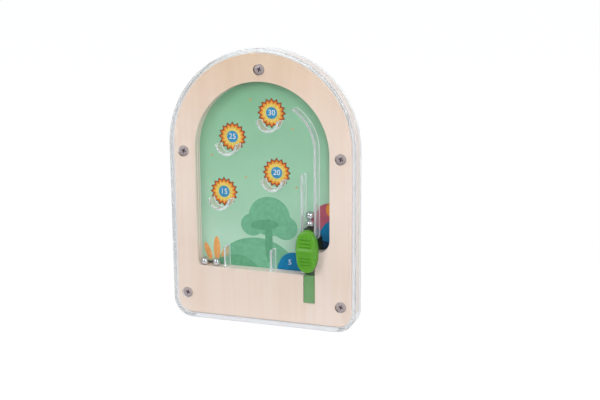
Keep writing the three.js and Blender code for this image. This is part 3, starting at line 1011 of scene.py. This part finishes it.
plated = steel("screw_plating", (0.56, 0.48, 0.49), 0.45, 1500, 0.4)
tree = plated.node_tree
shader = tree.nodes["Principled BSDF"]
# Painted shade: the plating is darker on faces that don't look to the front, in the cross recess
# and round each head's edge.
recess_shade_stops = ((0, (0.3, 0.24, 0.25)), (1, (1, 1, 1)))
recess_shade = ramp(tree, faded(tree, faces_y(tree), 0.85, 0.98), recess_shade_stops)
bright = shader.inputs["Base Color"].links[0].from_socket
feed(tree, shader, Base_Color=blended(tree, 1, bright, recess_shade, "MULTIPLY"))
for name, (x, z) in zip(screw_names, screw_places):
    low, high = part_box(name)
    head_radius, shank_radius = 0.00295, 0.00125
    profile = (
        (0, low[1]),
        (0.0025, low[1]),
        (head_radius, low[1] + 0.00024),
        (head_radius, low[1] + 0.0003),
        (shank_radius, low[1] + 0.00195),
        (shank_radius, high[1] - 0.001),
        (0, high[1]),
    )
    made = cross_screw(name + "_steel", x, z, profile, 0.0019)
    finish_piece(made, plated, "case", "screw_steel", name)
low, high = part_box("knob_screw")
head_radius, shank_radius = 0.0015, 0.0007
profile = (
    (0, high[1]),
    (0.0008, high[1]),
    (0.0013, high[1] - 0.00015),
    (head_radius, high[1] - 0.0004),
    (head_radius, high[1] - 0.0009),
    (shank_radius, high[1] - 0.0009),
    (shank_radius, low[1] + 0.0006),
    (0, low[1]),
)
made = cross_screw("stem_screw", lane_x, stem_z, profile, 0.0008, side=1)
finish_piece(made, plated, "plunger", "screw_steel", "knob_screw")


# Balls: polished bearing steel, loose behind the cover. Two wait on the plunger head in the lane,
# and two lie in the pocket at lower left.
polished = steel("ball_chrome", (0.84, 0.85, 0.88), 0.05, 900)
shader = polished.node_tree.nodes["Principled BSDF"]
shader.inputs["Specular Tint"].default_value = (0.1, 0.1, 0.13, 1)
for name in ("lane_ball_lower", "lane_ball_upper", "pocket_ball_left", "pocket_ball_right"):
    low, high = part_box(name)
    bm = bmesh.new()
    bmesh.ops.create_uvsphere(bm, u_segments=48, v_segments=24, radius=(high[2] - low[2]) / 2)
    shift(bm, [(a + b) / 2 for a, b in zip(low, high)])
    made = new_object(name + "_steel", bm)
    smooth(made)
    finish_piece(made, polished, name, "ball_steel", name)


# Front cover: one clear moulding, a tray whose face lies before the wood and whose skirt goes
# round it, with the cups, dividers and lane walls moulded on its inside. The knob's stem runs in
# its slot, five counterbores take the screws' heads, and the ribs' free edges are frosted white as
# painted glints.
case_half = cover_high[0]
rim = case_half - wood_half
face_thickness = 0.0018
face_back = cover_low[1] + face_thickness
rib_root = face_back - face_thickness / 2
rib_back = card_low[1] - 0.0002
rib_wall = 0.00135
cup_outer = 0.0066
cup_inner = 0.0053
skirt_gap = 0.0006
foot_wall = 0.002
bm = bmesh.new()
arch_face(bm, case_half, 0, wood_corner + rim, cover_low[1])
thicken(bm, cover_high[1] - cover_low[1])
soften(bm, 0.0008, 4)
cover = new_object("clear_cover", bm)
bm = bmesh.new()
arch_face(bm, wood_half + skirt_gap, foot_wall, wood_corner + skirt_gap, face_back)
thicken(bm, cover_high[1] - face_back + overcut)
combine(cover, new_object("hollow", bm), "DIFFERENCE")


def rib(name, bm):
    """A flat outline given the depth of the inside, with its free edges a little rounded."""
    thicken(bm, rib_back - rib_root)
    soften(bm, 0.0003)
    return new_object(name, bm)


def cup_rib(x, z):
    """The lower half of a ring, swept from a short line across its wall."""
    bm = bmesh.new()
    outer = bm.verts.new((x - cup_outer, rib_root, z))
    inner = bm.verts.new((x - cup_inner, rib_root, z))
    sweep(bm, [outer, inner, bm.edges.new((outer, inner))], x, z, -math.pi, 28)
    return rib("cup_rib", bm)


def wall_rib(left, low, high):
    bm = plate(left + rib_wall / 2, rib_root, (low + high) / 2, rib_wall, high - low)
    return rib("wall_rib", bm)


def bent_rib():
    """The lane's long wall: straight up, then bent to the left over the lane's mouth."""
    bm = bmesh.new()
    left = lane_x + lane_half
    right = left + rib_wall
    low = [bm.verts.new((x, rib_root, step + 0.0075)) for x in (left, right)]
    high = [bm.verts.new((x, rib_root, crown)) for x in (left, right)]
    bm.faces.new((low[0], low[1], high[1], high[0]))
    top = bm.edges.get((high[0], high[1]))
    bend = 0.0277
    sweep(bm, [*high, top], right - bend, crown, -math.radians(59), 24)
    bmesh.ops.remove_doubles(bm, verts=bm.verts[:], dist=1e-7)
    return rib("bent_rib", bm)


window_height = window_crown + window_half - sill
rib_foot = sill + 0.0002
for across, up in ((0.107, 0.8), (-0.517, 0.668), (0.159, 0.492), (-0.643, 0.374)):
    combine(cover, cup_rib(across * window_half, sill + up * window_height), "UNION")
for across in (-0.571, 0.134):
    divider = wall_rib(across * window_half - rib_wall / 2, rib_foot, sill + 0.0126)
    combine(cover, divider, "UNION")
combine(cover, wall_rib(lane_x - lane_half - rib_wall, rib_foot, sill + 0.0573), "UNION")
combine(cover, bent_rib(), "UNION")
slot_top = stem_top + 0.0003
slot_bottom = stem_top - stem_height - travel - 0.0003
stem_slot = rounded_block(
    "stem_slot",
    (slot_top + slot_bottom) / 2,
    stem_width + 0.0006,
    slot_top - slot_bottom,
    0.0016,
    cover_low[1] - overcut,
    face_back + 0.0005,
)
combine(cover, stem_slot, "DIFFERENCE")
for x, z in screw_places:
    combine(cover, countersink(x, z), "DIFFERENCE")
smooth(cover)
even = cover.modifiers.new("even_faces", "WEIGHTED_NORMAL")
even.keep_sharp = True

clear, tree, shader = new_material("clear_moulding")
place = add(tree, "TexCoord", "Object")
x, y, z = join(tree, "SeparateXYZ", place)
over_crown = calc(tree, "MAXIMUM", calc(tree, "ADD", z, -crown), 0)
arch_way = add(tree, "CombineXYZ", X=x, Y=over_crown)
reach = join(tree, "VectorMath", arch_way, operation="LENGTH")["Value"]
at_sides = faded(tree, reach, wood_half + 0.0002, wood_half + 0.0006)
at_rim = calc(tree, "MAXIMUM", at_sides, faded(tree, z, 0.0025, 0.0021))
flat_on = faces_y(tree)
on_side = calc(tree, "LESS_THAN", flat_on, 0.9)
inside = calc(tree, "GREATER_THAN", y, face_back)
within = faded(tree, reach, wood_half, wood_half - 0.0005)
on_ribs = calc(tree, "MULTIPLY", calc(tree, "MULTIPLY", on_side, inside), within)
gloss = between(tree, noise(tree, place, 45, 3), 0.003, 0.016)
rim_bloom = calc(tree, "MULTIPLY", calc(tree, "MULTIPLY", at_rim, on_side), 0.35)
rib_bloom = calc(tree, "MULTIPLY", on_ribs, 0.6)
tints = ((0, (0.987, 0.992, 0.998)), (1, (0.975, 0.985, 1)))
feed(
    tree,
    shader,
    Base_Color=ramp(tree, calc(tree, "MULTIPLY", at_rim, flat_on), tints),
    Roughness=calc(tree, "MULTIPLY_ADD", on_ribs, 0.2, gloss),
    IOR=1.49,
    Transmission_Weight=1,
    Sheen_Weight=calc(tree, "MAXIMUM", rib_bloom, rim_bloom),
    Sheen_Roughness=0.4,
    Normal=bumped(tree, noise(tree, place, 28, 1), 0.003, 0.0005),
)
shadow_ray = add(tree, "LightPath", "Is Shadow Ray")
lamp_way = add(tree, "BsdfTransparent", Color=(0.93, 0.945, 0.95, 1))
clear_body = join(tree, "MixShader", shadow_ray, shader.outputs[0], lamp_way)[0]
feed(tree, tree.nodes["Material Output"], Surface=clear_body)

# The ribs' free rear edges get a pale frosted material, a painted glint that stands in for the
# white lines clear edges catch.
glint_edge_material, tree, shader = new_material("pale_glint_edges")
grain = noise(tree, add(tree, "TexCoord", "Object"), 1800)
glint_edge_tone = ramp(tree, grain, ((0.3, (0.86, 0.91, 0.9)), (0.7, (0.97, 0.985, 0.98))))
feed(tree, shader, Base_Color=glint_edge_tone, Roughness=0.35, IOR=1.49, Transmission_Weight=0.35)
finish_piece(cover, clear, "case", "clear_plastic", "front_cover")
cover.data.materials.append(glint_edge_material)
for face in cover.data.polygons:
    free_edge = face.center.y > rib_back - 0.0004 and abs(face.center.x) < wood_half
    face.material_index = 1 if free_edge else 0
